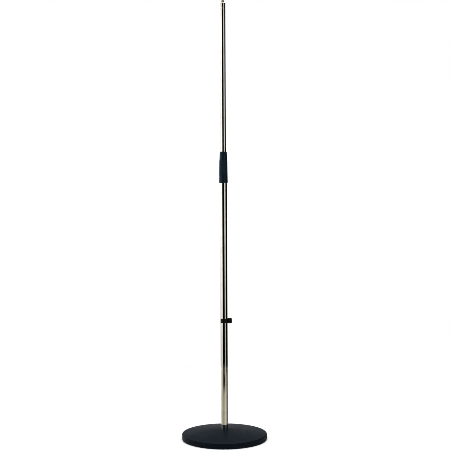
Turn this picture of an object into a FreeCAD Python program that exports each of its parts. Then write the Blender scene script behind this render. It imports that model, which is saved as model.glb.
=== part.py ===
"""Straight telescopic microphone floor stand on a round cast base.

Millimetres, +Z up along the column. The origin is the middle of the base on the floor.
The cable hook of the clip points along +X.
The stand is built at a working height: the extension rod is drawn out by `extension`
from its lowest setting, and the clutch is tight.
"""
import FreeCAD, Part
import math
import os

from FreeCAD import Vector

# ---- fits -------------------------------------------------------------------------
press_gap = 0.02        # radial, pressed or glued joints
thread_gap = 0.10       # radial, between mating threads drawn as plain cylinders
running_gap = 0.06      # radial, pieces that turn or slide on each other
rod_gap = 0.25          # radial, rod through the clutch bores that don't guide it
face_gap = 0.30         # axial, between faces that move past each other
edge_break = 0.3        # small chamfer on turned and sawn ends

# ---- base -------------------------------------------------------------------------
base_d = 250.0          # outside diameter
rim_h = 16.5            # height of the rim's upper edge above the floor
crown_h = 29.5          # height of the seat for the column
crown_bulge = 1.3       # how far the top stands above a plain cone, half way in
rim_round = 2.0         # round on the rim's upper edge
rim_chamfer = 1.0       # chamfer on the rim's lower edge
rim_wall = 12.0         # width of the rim on the floor side
shell_wall = 5.5        # thickness of the casting under the top
seat_d = 28.0           # machined seat round the column
boss_d = 46.0           # tapped boss under the seat
boss_clear = 6.0        # height of the boss and the ribs above the floor
rib_count = 6
rib_wall = 5.0
foot_proud = 1.2        # rubber ring stands out below the casting
foot_w = 6.0            # width of the rubber ring
foot_groove = 3.0       # depth of its groove
foot_round = 1.0        # round on the ring's edges that meet the floor
foot_inset = 4.0        # from the base's edge to the groove

# ---- column -----------------------------------------------------------------------
rod_d = 16.0            # extension rod
rod_wall = 1.2
glide_wall = 1.0        # room between rod and lower tube, filled by the glide ring
tube_wall = 1.5         # lower tube
clutch_z = 754.5        # underside of the clutch above the floor
extension = 423.0       # how far the rod is drawn out from its lowest setting

# ---- screw plug at the foot of the lower tube -----------------------------------------
spigot_d = 16.0         # screws into the boss
spigot_len = 22.0
plug_len = 21.0         # pressed into the tube
plug_bevel = 1.5
buffer_h = 2.0          # rubber pad that the rod lands on
buffer_inset = 1.5      # from the tube's bore to the pad

# ---- clutch -----------------------------------------------------------------------
flange_wall = 2.0       # socket wall round the lower tube
socket_len = 20.2       # depth of the socket over the lower tube
flange_lip = 0.3        # the foot of the flange stands out by this
flange_lip_h = 6.5
flange_round = 1.55     # width of the round under the flange
flange_round_h = 4.0
shoulder_h = 0.5        # flange's face above the tube's end
neck_wall = 1.8         # threaded neck above the socket
neck_h = 36.8
nut_wall = 0.9          # under the grip sleeve
grip_len = 46.6         # grip sleeve
grip_top_wall = 0.9
grip_top_round = 4.5    # height of the sleeve's rounded upper end
grip_foot_inset = 0.05  # sleeve's foot inside the flange's edge
flute_count = 12
flute_depth = 0.35
flute_r = 1.6
flute_margin = 6.0      # plain length at both ends of the sleeve
nose_h = 24.5           # cone above the grip
nose_top_wall = 2.0
nose_lip = 6.0          # length of the bore at the top of the nose
cone_h = 14.0           # cone inside the nut that squeezes the collet
collet_top_wall = 0.9
collet_bottom_gap = 0.1
collet_slot_w = 1.4
collet_slots = 4
collet_land = 3.0       # solid length under the short slots
cone_gap = 0.15         # radial, collet inside the nut's cavity

# ---- extension rod's fittings -----------------------------------------------------
glide_len = 14.0
bead_r = 0.55           # rolled bead that keeps the glide ring on the rod
end_flange = 2.5        # thickness of the end plug's flange
end_spigot = 16.0
collar_h = 16.0         # turned collar on top of the rod
collar_bevel = 1.4
collar_groove = 0.4     # narrow groove where the collar meets the rod
collar_spigot = 20.0
stud_d = 9.525          # 3/8 inch microphone thread
stud_len = 8.0
stud_pitch = 1.5875
stud_bevel = 0.8
stud_root_wall = 0.86   # thread depth
stud_shank_d = 8.0      # shank screwed into the collar
stud_shank_len = 12.0

# ---- cable clip -------------------------------------------------------------------
clip_mid_z = 348.4
clip_ring_h = 13.0
clip_hook_h = 15.0
clip_wall = 1.8
clip_mouth = 35.0       # half the open angle of the ring, degrees
cable_d = 7.2           # cable that the hook holds
hook_wall = 1.8
hook_mouth = 44.0       # half the open angle of the hook, degrees
hook_web = 0.9          # material between ring and hook
hook_lip = 1.15         # radius of the beads at the hook's mouth
clip_corner = 3.2       # round on the hook's outer corners

# ---- sizes that follow from the ones above --------------------------------------------
base_r = base_d / 2
foot_r = base_r - foot_inset - foot_w / 2
rod_r = rod_d / 2
tube_in_r = rod_r + glide_wall
tube_r = tube_in_r + tube_wall
tube_top = clutch_z + socket_len
plug_top = crown_h + plug_len
flange_r = tube_r + flange_wall
flange_top = tube_top + shoulder_h
neck_in_r = rod_r + rod_gap
neck_r = neck_in_r + neck_wall
neck_top = flange_top + neck_h
nut_foot = flange_top + face_gap * 2
nut_in_r = neck_r + thread_gap
nut_r = nut_in_r + nut_wall
grip_top = nut_foot + grip_len
grip_top_r = nut_r + grip_top_wall
grip_foot_r = flange_r - grip_foot_inset
clutch_top = grip_top + nose_h
nose_r = rod_r + rod_gap + nose_top_wall
cone_top = clutch_top - nose_lip
cone_top_r = rod_r + running_gap + collet_top_wall + cone_gap
rod_top = clutch_top + extension
rod_foot = plug_top + buffer_h + face_gap + extension + end_flange
collar_top = rod_top + collar_h
stud_top = collar_top + stud_len
clip_r = tube_r + running_gap + clip_wall
hook_x = clip_r + hook_web + hook_wall + cable_d / 2

z_axis = Vector(0, 0, 1)


def revolve(*steps):
    """A solid of revolution about Z. Steps are (r, z) corners, or (r, z, r, z) for an arc
    through the first point to the second."""
    edges = []
    here = first = Vector(steps[0][0], 0, steps[0][1])
    for step in steps[1:] + (steps[0],):
        there = Vector(step[-2], 0, step[-1])
        if len(step) == 4:
            edges.append(Part.Arc(here, Vector(step[0], 0, step[1]), there).toShape())
        else:
            edges.append(Part.makeLine(here, there))
        here = there
    face = Part.Face(Part.Wire(edges))
    return face.revolve(Vector(0, 0, 0), z_axis, 360)


def bush(inner_r, outer_r, low, high, bevel=edge_break):
    """A plain ring or tube with small chamfers outside."""
    return revolve((inner_r, low), (outer_r - bevel, low), (outer_r, low + bevel),
                   (outer_r, high - bevel), (outer_r - bevel, high), (inner_r, high))


def block(low, high):
    """A box between two corners."""
    size = Vector(*high) - Vector(*low)
    return Part.makeBox(size.x, size.y, size.z, Vector(*low))


def polar(radius, degrees, x=0.0):
    """A point in plan, at an angle from +X about a centre on the X axis."""
    return Vector(x + radius * math.cos(math.radians(degrees)),
                  radius * math.sin(math.radians(degrees)), 0)


def top_arc(drop):
    """The crown's curve lowered by `drop`: its outer end, middle and inner end."""
    outer = (base_r - rim_round, rim_h - drop)
    inner = (seat_d / 2, crown_h - drop)
    middle = ((outer[0] + inner[0]) / 2, (outer[1] + inner[1]) / 2 + crown_bulge)
    return outer, middle, inner


# ---- base -------------------------------------------------------------------------
def base_casting():
    """Dished iron disc with a heavy rim, a tapped boss and ribs under it."""
    outer, middle, inner = top_arc(0)
    under_outer, under_middle, under_inner = top_arc(shell_wall)
    hole_r = spigot_d / 2 + thread_gap
    rim_in = base_r - rim_wall
    rim_corner = rim_round * (1 - math.sqrt(0.5))
    shell = revolve(
        (hole_r, boss_clear), (boss_d / 2, boss_clear),
        (boss_d / 2, under_inner[1]),
        (*under_middle, rim_in, under_outer[1]),
        (rim_in, foot_proud), (base_r - rim_chamfer, foot_proud),
        (base_r, foot_proud + rim_chamfer), (base_r, rim_h - rim_round),
        (base_r - rim_corner, rim_h - rim_corner, *outer),
        (*middle, *inner), (hole_r, crown_h))
    groove_in, groove_out = foot_r - foot_w / 2, foot_r + foot_w / 2
    groove = revolve((groove_in, 0), (groove_out, 0), (groove_out, foot_proud + foot_groove),
                     (groove_in, foot_proud + foot_groove))
    under = revolve(
        (boss_d / 2 - rib_wall, boss_clear), (rim_in + rib_wall, boss_clear),
        (rim_in + rib_wall, under_outer[1] + rim_round),
        (boss_d / 2 - rib_wall, under_inner[1] + rim_round))
    bars = []
    for i in range(rib_count):
        bar = block((0, -rib_wall / 2, 0), (base_r, rib_wall / 2, crown_h))
        bar.rotate(Vector(0, 0, 0), z_axis, 360.0 * (i + 0.5) / rib_count)
        bars.append(bar)
    ribs = under.common(bars[0].multiFuse(bars[1:]))
    return shell.fuse(ribs).cut(groove).removeSplitter()


def base_rubber_ring():
    """Rubber ring pressed into the rim's groove; the stand rests on it."""
    inner_r = foot_r - foot_w / 2 + press_gap
    outer_r = foot_r + foot_w / 2 - press_gap
    top = foot_proud + foot_groove
    corner = foot_round * (1 - math.sqrt(0.5))
    return revolve(
        (inner_r, top), (inner_r, foot_round),
        (inner_r + corner, corner, inner_r + foot_round, 0),
        (outer_r - foot_round, 0),
        (outer_r - corner, corner, outer_r, foot_round),
        (outer_r, top))


# ---- lower tube -------------------------------------------------------------------
def lower_tube():
    """Plated steel tube standing on the base's seat."""
    return bush(tube_in_r, tube_r, crown_h, tube_top)


def tube_foot_plug():
    """Steel plug pressed into the tube, with the screw that holds it in the boss."""
    body_r = tube_in_r - press_gap
    screw_r = spigot_d / 2
    foot = crown_h - spigot_len
    return revolve(
        (0, foot), (screw_r - plug_bevel, foot), (screw_r, foot + plug_bevel),
        (screw_r, crown_h), (body_r, crown_h),
        (body_r, plug_top - plug_bevel), (body_r - plug_bevel, plug_top), (0, plug_top))


def landing_buffer():
    """Rubber pad on the plug, under the rod's lowest setting."""
    return bush(0, tube_in_r - buffer_inset, plug_top, plug_top + buffer_h)


# ---- clutch -----------------------------------------------------------------------
def clutch_housing():
    """Socket over the lower tube, with the threaded neck that the nut runs on."""
    socket_r = tube_r + press_gap
    foot_r_out = flange_r + flange_lip
    bend = math.sqrt(0.5)
    return revolve(
        (socket_r, clutch_z), (foot_r_out - flange_round, clutch_z),
        (foot_r_out - flange_round * (1 - bend), clutch_z + flange_round_h * (1 - bend),
         foot_r_out, clutch_z + flange_round_h),
        (foot_r_out, clutch_z + flange_lip_h),
        (flange_r, clutch_z + 2 * flange_lip_h),
        (flange_r, flange_top - edge_break), (flange_r - edge_break, flange_top),
        (neck_r, flange_top), (neck_r, neck_top - edge_break),
        (neck_r - edge_break, neck_top), (neck_in_r, neck_top),
        (neck_in_r, tube_top), (socket_r, tube_top))


def clutch_nut():
    """Turned nut: internal thread, squeezing cone and the tapered nose that shows."""
    shoulder_r = grip_top_r - grip_top_wall / 2
    bore_r = rod_r + rod_gap
    return revolve(
        (nut_in_r, nut_foot), (nut_r, nut_foot), (nut_r, grip_top),
        (shoulder_r, grip_top), (nose_r, clutch_top - 2 * edge_break),
        (nose_r - 2 * edge_break, clutch_top), (bore_r, clutch_top),
        (bore_r, cone_top), (cone_top_r, cone_top), (nut_in_r, cone_top - cone_h))


def clutch_grip():
    """Soft fluted sleeve over the nut."""
    inner_r = nut_r + press_gap
    edge_r = inner_r + grip_top_wall / 2
    sleeve = revolve(
        (inner_r, nut_foot), (grip_foot_r - edge_break, nut_foot),
        (grip_foot_r, nut_foot + edge_break),
        (grip_top_r, grip_top - grip_top_round),
        ((grip_top_r + edge_r) / 2 + grip_top_wall / 8, grip_top - grip_top_round / 4,
         edge_r, grip_top),
        (inner_r, grip_top))
    low, high = nut_foot + flute_margin, grip_top - flute_margin
    top_r = grip_top_r + flute_r - flute_depth
    foot_r_out = grip_foot_r + flute_r - flute_depth
    flutes = []
    for i in range(flute_count):
        turn = 360.0 * i / flute_count
        axis = polar(top_r, turn) + z_axis * high - polar(foot_r_out, turn) - z_axis * low
        flute = Part.makeCylinder(flute_r, axis.Length, polar(foot_r_out, turn) + z_axis * low,
                                  axis)
        flutes.append(flute)
    return sleeve.cut(flutes[0].multiFuse(flutes[1:]))


def clutch_collet():
    """Slotted ring that the nut's cone squeezes onto the rod."""
    inner_r = rod_r + running_gap
    foot = neck_top + collet_bottom_gap
    top = cone_top - face_gap
    outer_r = nut_in_r - cone_gap
    top_r = inner_r + collet_top_wall
    ring = revolve(
        (inner_r, foot), (outer_r, foot), (outer_r, cone_top - cone_h - face_gap),
        (top_r, top), (inner_r, top))
    slots = [block((0, -collet_slot_w / 2, foot), (outer_r + 1, collet_slot_w / 2, top))]
    for i in range(1, collet_slots):
        slot = block((0, -collet_slot_w / 2, foot + collet_land),
                     (outer_r + 1, collet_slot_w / 2, top))
        slot.rotate(Vector(0, 0, 0), z_axis, 360.0 * i / collet_slots)
        slots.append(slot)
    return ring.cut(slots[0].multiFuse(slots[1:]))


# ---- extension rod ----------------------------------------------------------------
def rod_glide_ring():
    """Plastic ring that centres the rod's foot in the lower tube."""
    return bush(rod_r + running_gap, tube_in_r - running_gap,
                rod_foot + face_gap, rod_foot + glide_len, edge_break / 2)


def rod_end_plug():
    """Plug in the rod's foot; its flange keeps the glide ring on."""
    spigot_r = rod_r - rod_wall - press_gap
    flange_out = tube_in_r - running_gap - edge_break
    foot = rod_foot - end_flange
    return revolve(
        (0, foot), (flange_out - edge_break, foot), (flange_out, foot + edge_break),
        (flange_out, rod_foot), (spigot_r, rod_foot),
        (spigot_r, rod_foot + end_spigot - plug_bevel),
        (spigot_r - plug_bevel, rod_foot + end_spigot), (0, rod_foot + end_spigot))


def extension_rod():
    """Plated steel tube with a bead rolled above the glide ring."""
    bead_z = rod_foot + glide_len + face_gap + bead_r
    foot = rod_foot + press_gap
    return revolve(
        (rod_r - rod_wall, foot), (rod_r, foot), (rod_r, bead_z - bead_r),
        (rod_r + bead_r, bead_z, rod_r, bead_z + bead_r),
        (rod_r, rod_top - edge_break), (rod_r - edge_break, rod_top),
        (rod_r - rod_wall, rod_top))


def rod_top_collar():
    """Turned collar pressed into the rod's upper end, tapped for the stud."""
    hole_r = stud_shank_d / 2 + press_gap
    spigot_r = rod_r - rod_wall - press_gap
    return revolve(
        (0, rod_top - collar_spigot), (spigot_r, rod_top - collar_spigot),
        (spigot_r, rod_top), (rod_r - collar_groove, rod_top),
        (rod_r, rod_top + collar_groove), (rod_r, collar_top - collar_bevel),
        (rod_r - collar_bevel, collar_top), (hole_r, collar_top),
        (hole_r, collar_top - stud_shank_len), (0, collar_top - stud_shank_len))


def microphone_stud():
    """Screw for the microphone clip. Its thread is a row of plain rings."""
    crest_r = stud_d / 2
    root_r = crest_r - stud_root_wall
    foot = collar_top - stud_shank_len + face_gap
    crest = stud_pitch / 4
    steps = [(0, foot), (stud_shank_d / 2, foot), (stud_shank_d / 2, collar_top),
             (crest_r, collar_top)]
    turns = int((stud_len - stud_bevel - crest) / stud_pitch)
    for i in range(turns):
        low = collar_top + crest + i * stud_pitch
        steps += [(crest_r, low), (root_r, low + stud_pitch * 0.375),
                  (crest_r, low + stud_pitch * 0.75)]
    steps += [(crest_r, stud_top - stud_bevel), (crest_r - stud_bevel, stud_top),
              (0, stud_top)]
    return revolve(*steps)


# ---- cable clip -------------------------------------------------------------------
def wedge(x, radius, middle, half_angle, low, high):
    """A prism that opens the mouth of a C, towards the angle `middle`."""
    centre = Vector(x, 0, 0)
    tips = [polar(2 * radius, middle + s * half_angle, x) for s in (-1, 1)]
    wire = Part.makePolygon([centre, tips[0], tips[1], centre])
    face = Part.Face(wire)
    face.translate(z_axis * low)
    return face.extrude(z_axis * (high - low))


def cable_clip():
    """Springy ring round the lower tube with an open hook for one cable."""
    low, high = clip_mid_z - clip_hook_h / 2, clip_mid_z + clip_hook_h / 2
    height = high - low
    bottom = z_axis * low
    bore_r = tube_r + running_gap
    seat_r = cable_d / 2
    hook_r = seat_r + hook_wall
    hook_centre = Vector(hook_x, 0, low)

    ring = Part.makeCylinder(clip_r, height, bottom).cut(
        wedge(0, clip_r, 180, clip_mouth, low, high))
    hook = Part.makeCylinder(hook_r, height, hook_centre).cut(
        wedge(hook_x, hook_r, 0, hook_mouth, low, high))
    web = block((clip_r - clip_wall, -hook_r * 0.7, low), (hook_x - seat_r, hook_r * 0.7, high))
    beads = []
    for side in (-1, 1):
        ring_tip = polar(clip_r - clip_wall / 2, 180 + side * clip_mouth)
        hook_tip = polar(seat_r + hook_lip, side * hook_mouth, hook_x)
        beads.append(Part.makeCylinder(clip_wall / 2, height, ring_tip + bottom))
        beads.append(Part.makeCylinder(hook_lip, height, hook_tip + bottom))
    body = ring.multiFuse([hook, web] + beads)
    body = body.cut(Part.makeCylinder(bore_r, height, bottom))
    body = body.cut(Part.makeCylinder(seat_r, height, hook_centre))

    ring_low, ring_high = clip_mid_z - clip_ring_h / 2, clip_mid_z + clip_ring_h / 2
    left, right = -clip_r - 1, polar(seat_r + hook_lip, hook_mouth, hook_x).x + hook_lip
    step_in, step_out = clip_r - clip_wall, clip_r + hook_web
    c = clip_corner
    bend = c * (1 - math.sqrt(0.5))

    def at(x, z):
        return Vector(x, -2 * clip_r, z)

    edges = [
        Part.makeLine(at(left, ring_low), at(step_in, ring_low)),
        Part.makeLine(at(step_in, ring_low), at(step_out, low)),
        Part.makeLine(at(step_out, low), at(right - c, low)),
        Part.Arc(at(right - c, low), at(right - bend, low + bend), at(right, low + c)).toShape(),
        Part.makeLine(at(right, low + c), at(right, high - c)),
        Part.Arc(at(right, high - c), at(right - bend, high - bend), at(right - c, high)).toShape(),
        Part.makeLine(at(right - c, high), at(step_out, high)),
        Part.makeLine(at(step_out, high), at(step_in, ring_high)),
        Part.makeLine(at(step_in, ring_high), at(left, ring_high)),
        Part.makeLine(at(left, ring_high), at(left, ring_low)),
    ]
    side_view = Part.Face(Part.Wire(edges)).extrude(Vector(0, 4 * clip_r, 0))
    return body.common(side_view).removeSplitter()


subparts = {
    "base_casting": base_casting,
    "base_rubber_ring": base_rubber_ring,
    "lower_tube": lower_tube,
    "tube_foot_plug": tube_foot_plug,
    "landing_buffer": landing_buffer,
    "clutch_housing": clutch_housing,
    "clutch_nut": clutch_nut,
    "clutch_grip": clutch_grip,
    "clutch_collet": clutch_collet,
    "rod_glide_ring": rod_glide_ring,
    "rod_end_plug": rod_end_plug,
    "extension_rod": extension_rod,
    "rod_top_collar": rod_top_collar,
    "microphone_stud": microphone_stud,
    "cable_clip": cable_clip,
}

os.makedirs("parts", exist_ok=True)
for name, make in subparts.items():
    shape = make()
    shape.exportStep("parts/" + name + ".step")
    box = shape.BoundBox
    print("%-18s solids %d valid %s volume %.1f cm3  z %.1f to %.1f  r %.2f" % (
        name, len(shape.Solids), shape.isValid(), shape.Volume / 1000, box.ZMin, box.ZMax,
        max(box.XMax, box.YMax)))
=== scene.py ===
import math

import bpy
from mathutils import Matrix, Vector


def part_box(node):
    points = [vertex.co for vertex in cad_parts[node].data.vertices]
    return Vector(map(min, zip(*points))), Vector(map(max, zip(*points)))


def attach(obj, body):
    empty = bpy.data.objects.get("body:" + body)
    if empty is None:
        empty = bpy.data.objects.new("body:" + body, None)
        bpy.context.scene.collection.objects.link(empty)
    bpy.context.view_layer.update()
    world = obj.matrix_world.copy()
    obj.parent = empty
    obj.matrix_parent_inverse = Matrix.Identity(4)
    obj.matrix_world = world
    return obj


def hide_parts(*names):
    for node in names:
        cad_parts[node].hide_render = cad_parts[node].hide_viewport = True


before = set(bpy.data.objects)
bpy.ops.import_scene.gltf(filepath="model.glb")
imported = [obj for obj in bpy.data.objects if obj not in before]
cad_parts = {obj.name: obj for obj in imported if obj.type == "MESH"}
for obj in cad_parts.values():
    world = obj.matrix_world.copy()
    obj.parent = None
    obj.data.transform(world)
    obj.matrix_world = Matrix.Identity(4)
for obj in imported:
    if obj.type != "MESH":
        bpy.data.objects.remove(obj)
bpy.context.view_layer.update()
scene = bpy.context.scene
mm = 0.001


def deselectAll():
    # an operator acts on all that is selected, so every piece starts with this
    if bpy.context.mode != 'OBJECT':
        bpy.ops.object.mode_set(mode='OBJECT')
    bpy.ops.object.select_all(action='DESELECT')


def makeActive(piece):
    deselectAll()
    piece.select_set(True)
    bpy.context.view_layer.objects.active = piece


def sizeOf(node):
    # outside radius, lowest and highest z of a turned CAD node, in millimetres
    low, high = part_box(node)
    return high.y / mm, low.z / mm, high.z / mm


def applyModifier(piece, kind, **settings):
    makeActive(piece)
    modifier = piece.modifiers.new(kind.title(), kind)
    for name, value in settings.items():
        setattr(modifier, name, value)
    bpy.ops.object.modifier_apply(modifier=modifier.name)


def selectPoints(piece, wanted):
    # leaves edit mode with just the points selected for which wanted(co) is true
    makeActive(piece)
    bpy.ops.object.mode_set(mode='EDIT')
    bpy.ops.mesh.select_mode(type='VERT')
    bpy.ops.mesh.select_all(action='DESELECT')
    bpy.ops.object.mode_set(mode='OBJECT')
    for point in piece.data.vertices:
        point.select = wanted(point.co)
    bpy.ops.object.mode_set(mode='EDIT')


def settle(piece, name, smoothAngle=32):
    # place and size go into the mesh, edges sharper than smoothAngle stay crisp,
    # and small rounds don't bend the light on the long faces beside them
    makeActive(piece)
    bpy.ops.object.transform_apply(location=True, rotation=True, scale=True)
    bpy.ops.object.shade_smooth_by_angle(angle=math.radians(smoothAngle))
    applyModifier(piece, 'WEIGHTED_NORMAL', keep_sharp=True)
    piece.name = name
    piece.data.name = name
    return piece


def finishPiece(piece, body, slot, material, *nodes):
    piece.data.materials.clear()
    piece.data.materials.append(material)
    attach(piece, body)
    if nodes:
        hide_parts(*nodes)
    print("  made", piece.name, "with", len(piece.data.polygons), "faces")
    return piece


def spanned(first, last, count):
    # evenly spaced values between two ends
    return [first + (last - first) * k / count for k in range(1, count)]


def softened(corners, steps=5):
    # corners are (radius, height) or (radius, height, round), in millimetres;
    # a corner with a round becomes an arc of that radius
    points = []
    for i, corner in enumerate(corners):
        here = Vector(corner[:2])
        if len(corner) == 2:
            points.append(here)
            continue
        back = (Vector(corners[i - 1][:2]) - here).normalized()
        ahead = (Vector(corners[(i + 1) % len(corners)][:2]) - here).normalized()
        half = back.angle(ahead) / 2
        centre = here + (back + ahead).normalized() * corner[2] / math.sin(half)
        reach = corner[2] / math.tan(half)
        first, last = here + back * reach - centre, here + ahead * reach - centre
        for k in range(steps + 1):
            points.append(centre + first.slerp(last, k / steps) * corner[2])
    return points


def traced(outline, y=0):
    # a single point is drawn out along the outline; leaves edit mode on, with the closed line
    deselectAll()
    start = outline[0]
    bpy.ops.mesh.primitive_plane_add(size=mm, location=(start[0] * mm, y * mm, start[1] * mm))
    bpy.ops.object.mode_set(mode='EDIT')
    bpy.ops.mesh.merge(type='CENTER')
    for last, here in zip(outline, list(outline[1:]) + [start]):
        step = ((here[0] - last[0]) * mm, 0, (here[1] - last[1]) * mm)
        bpy.ops.mesh.extrude_region_move(TRANSFORM_OT_translate={'value': step})
    bpy.ops.mesh.select_all(action='SELECT')
    bpy.ops.mesh.remove_doubles(threshold=0.002 * mm)
    return bpy.context.object


def turned(name, outline, sides=96, smoothAngle=32):
    piece = traced(outline)
    bpy.ops.mesh.select_all(action='SELECT')
    bpy.ops.mesh.spin(steps=sides, angle=math.tau, center=(0, 0, 0), axis=(0, 0, 1))
    bpy.ops.mesh.select_all(action='SELECT')
    bpy.ops.mesh.remove_doubles(threshold=0.002 * mm)
    bpy.ops.mesh.normals_make_consistent(inside=False)
    bpy.ops.object.mode_set(mode='OBJECT')
    return settle(piece, name, smoothAngle)


def slab(outline, halfDepth):
    # the outline, filled and drawn across from front to back
    piece = traced(outline, -halfDepth)
    bpy.ops.mesh.select_all(action='SELECT')
    bpy.ops.mesh.edge_face_add()
    bpy.ops.mesh.extrude_region_move(TRANSFORM_OT_translate={'value': (0, 2 * halfDepth * mm, 0)})
    bpy.ops.mesh.select_all(action='SELECT')
    bpy.ops.mesh.normals_make_consistent(inside=False)
    bpy.ops.object.mode_set(mode='OBJECT')
    bpy.ops.object.transform_apply(location=True, rotation=True, scale=True)
    return piece


def joinPieces(pieces):
    makeActive(pieces[0])
    for other in pieces[1:]:
        other.select_set(True)
    bpy.ops.object.join()
    return bpy.context.object


def booleanWith(piece, tool, operation, selfCrossing=False):
    applyModifier(piece, 'BOOLEAN', operation=operation, solver='EXACT', object=tool, use_self=selfCrossing)
    bpy.data.objects.remove(tool)


def addNode(tree, kind, place, settings=None, values=None):
    node = tree.nodes.new(kind)
    node.location = place
    for name, value in (settings or {}).items():
        setattr(node, name, value)
    for name, value in (values or {}).items():
        node.inputs[name].default_value = value
    return node


def startGroup(name, inputs, outputs):
    # inputs are name: default, where None is a vector; outputs are name: socket kind
    tree = bpy.data.node_groups.new(name, 'ShaderNodeTree')
    for label, value in inputs.items():
        kind = 'NodeSocketVector' if value is None else 'NodeSocketFloat'
        socket = tree.interface.new_socket(name=label, in_out='INPUT', socket_type=kind)
        if value is not None:
            socket.default_value = value
    for label, kind in outputs.items():
        tree.interface.new_socket(name=label, in_out='OUTPUT', socket_type=kind)
    return tree, addNode(tree, 'NodeGroupInput', (-900, 0)), addNode(tree, 'NodeGroupOutput', (700, 0))


def useGroup(tree, group, place, values):
    node = addNode(tree, 'ShaderNodeGroup', place, {'node_tree': group})
    for name, value in values.items():
        node.inputs[name].default_value = value
    return node


def startMaterial(name, shaderValues):
    # hands back the material, its tree, its shader and the piece's own coordinates
    material = bpy.data.materials.new(name)
    material.use_nodes = True
    tree = material.node_tree
    shader = tree.nodes['Principled BSDF']
    for socket, value in shaderValues.items():
        shader.inputs[socket].default_value = value
    where = addNode(tree, 'ShaderNodeTexCoord', (-1300, 0))
    return material, tree, shader, where.outputs['Object']


def fade(tree, mask, low, high, place):
    # a mask between 0 and 1 becomes a value between low and high
    node = addNode(tree, 'ShaderNodeMapRange', place, values={'To Min': low, 'To Max': high})
    tree.links.new(mask, node.inputs['Value'])
    return node.outputs['Result']


def blendColours(tree, mask, first, second, place):
    node = addNode(tree, 'ShaderNodeMix', place, {'data_type': 'RGBA'})
    tree.links.new(mask, node.inputs[0])
    for socket, colour in ((node.inputs[6], first), (node.inputs[7], second)):
        if isinstance(colour, bpy.types.NodeSocket):
            tree.links.new(colour, socket)
        else:
            socket.default_value = (*colour, 1)
    return node.outputs[2]


def combine(tree, operation, first, second, place):
    node = addNode(tree, 'ShaderNodeMath', place, {'operation': operation})
    for socket, value in zip(node.inputs, (first, second)):
        if isinstance(value, bpy.types.NodeSocket):
            tree.links.new(value, socket)
        else:
            socket.default_value = value
    return node.outputs[0]


def addBump(tree, shader, height, distance, strength, place):
    bump = addNode(tree, 'ShaderNodeBump', place, values={'Distance': distance, 'Strength': strength})
    tree.links.new(height, bump.inputs['Height'])
    tree.links.new(bump.outputs['Normal'], shader.inputs['Normal'])
    return bump


def makeGrainGroup():
    # pebbled skin of powder coat, moulded plastic and rubber
    tree, given, result = startGroup("Pebble grain", {"Coordinates": None, "Grains Per Metre": 1500.0,
                                     "Roundness": 0.5},
                                     {"Height": 'NodeSocketFloat', "Tone": 'NodeSocketFloat'})
    cells = addNode(tree, 'ShaderNodeTexVoronoi', (-500, 200), {'feature': 'SMOOTH_F1'},
                    {'Smoothness': 0.8})
    fine = addNode(tree, 'ShaderNodeTexNoise', (-500, -100), values={'Detail': 3.0, 'Roughness': 0.55})
    broad = addNode(tree, 'ShaderNodeTexNoise', (-500, -400), values={'Detail': 2.0})
    broadScale = addNode(tree, 'ShaderNodeMath', (-700, -400), {'operation': 'MULTIPLY'})
    broadScale.inputs[1].default_value = 0.07
    mix = addNode(tree, 'ShaderNodeMix', (-200, 100))
    for node in (cells, fine, broad):
        tree.links.new(given.outputs['Coordinates'], node.inputs['Vector'])
    tree.links.new(given.outputs['Grains Per Metre'], cells.inputs['Scale'])
    tree.links.new(given.outputs['Grains Per Metre'], fine.inputs['Scale'])
    tree.links.new(given.outputs['Grains Per Metre'], broadScale.inputs[0])
    tree.links.new(broadScale.outputs[0], broad.inputs['Scale'])
    tree.links.new(given.outputs['Roundness'], mix.inputs[0])
    tree.links.new(fine.outputs['Fac'], mix.inputs[2])
    tree.links.new(cells.outputs['Distance'], mix.inputs[3])
    total = combine(tree, 'MULTIPLY_ADD', mix.outputs[0], 0.85, (100, 100))
    tree.links.new(combine(tree, 'MULTIPLY', broad.outputs['Fac'], 0.15, (-100, -300)),
                   total.node.inputs[2])
    tree.links.new(total, result.inputs['Height'])
    tree.links.new(broad.outputs['Fac'], result.inputs['Tone'])
    return tree


def makeDrawnGroup():
    # fine marks that run along or round the column: polishing, sliding and turning marks
    tree, given, result = startGroup("Drawn marks", {"Coordinates": None, "Across Per Metre": 900.0,
                                     "Along Per Metre": 8.0, "Amount": 0.5}, {"Mask": 'NodeSocketFloat'})
    stretch = addNode(tree, 'ShaderNodeCombineXYZ', (-700, -100))
    tree.links.new(given.outputs['Across Per Metre'], stretch.inputs['X'])
    tree.links.new(given.outputs['Across Per Metre'], stretch.inputs['Y'])
    tree.links.new(given.outputs['Along Per Metre'], stretch.inputs['Z'])
    scaled = addNode(tree, 'ShaderNodeVectorMath', (-500, 0), {'operation': 'MULTIPLY'})
    tree.links.new(given.outputs['Coordinates'], scaled.inputs[0])
    tree.links.new(stretch.outputs[0], scaled.inputs[1])
    lines = addNode(tree, 'ShaderNodeTexNoise', (-300, 100), values={'Scale': 1.0, 'Detail': 4.0,
                    'Roughness': 0.65})
    patches = addNode(tree, 'ShaderNodeTexNoise', (-300, -200), values={'Scale': 45.0, 'Detail': 2.0})
    tree.links.new(scaled.outputs[0], lines.inputs['Vector'])
    tree.links.new(given.outputs['Coordinates'], patches.inputs['Vector'])
    sharp = addNode(tree, 'ShaderNodeMapRange', (-50, 100), {'interpolation_type': 'SMOOTHSTEP'},
                    {'From Min': 0.52, 'From Max': 0.78})
    tree.links.new(lines.outputs['Fac'], sharp.inputs['Value'])
    where = addNode(tree, 'ShaderNodeMapRange', (-50, -200), values={'From Min': 0.35, 'From Max': 0.7,
                    'To Min': 0.25})
    tree.links.new(patches.outputs['Fac'], where.inputs['Value'])
    both = combine(tree, 'MULTIPLY', sharp.outputs[0], where.outputs[0], (200, 0))
    total = combine(tree, 'MULTIPLY', both, given.outputs['Amount'], (400, 0))
    tree.links.new(total, result.inputs['Mask'])
    return tree


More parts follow.
